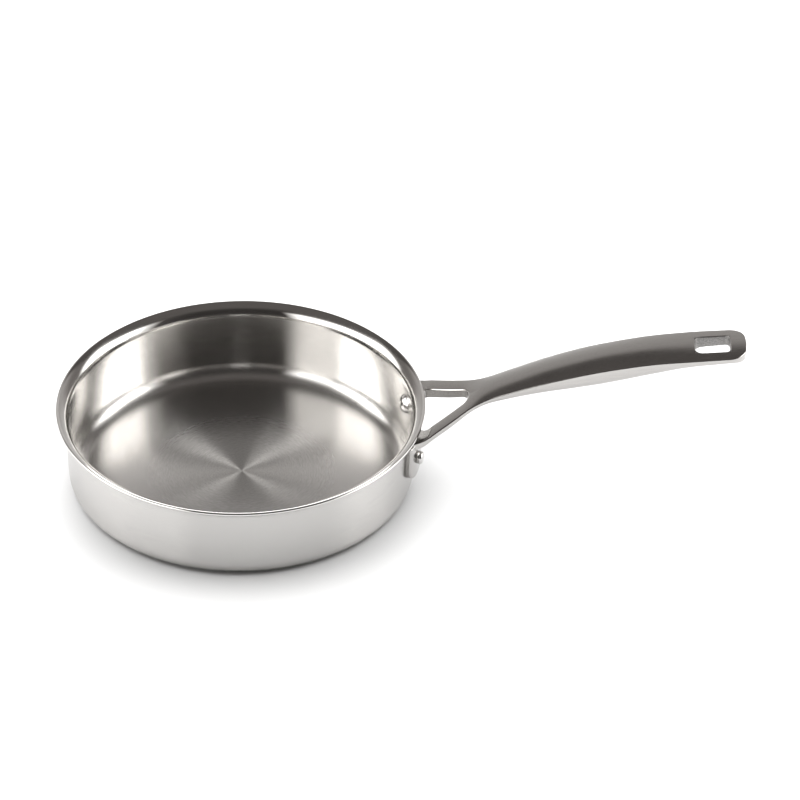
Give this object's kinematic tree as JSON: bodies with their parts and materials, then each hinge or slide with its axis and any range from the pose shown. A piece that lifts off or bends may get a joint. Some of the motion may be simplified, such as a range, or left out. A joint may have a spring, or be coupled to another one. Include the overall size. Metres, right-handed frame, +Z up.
{
  "type": "egg poacher pan",
  "caption": "Shallow round steel pan with a flared pouring lip and a long raised cast handle that forks into two riveted feet and has a hanging slot.",
  "frame": {"origin": "centre of the pan's flat base, on the surface that it stands on", "axes": "+Z up along the pan's axis, +X out along the handle"},
  "size_m": [0.3989, 0.214, 0.0919],
  "materials": {
    "satin_steel": "satin stainless steel, turned brushing inside and out, polished lip",
    "cast_steel": "satin cast stainless steel, brushed along the grip, polished edges",
    "polished_steel": "polished stainless steel"
  },
  "bodies": {
    "root": {"pan_body": "satin_steel", "handle": "cast_steel", "rivet_left": "polished_steel", "rivet_right": "polished_steel"}
  },
  "joints": []
}
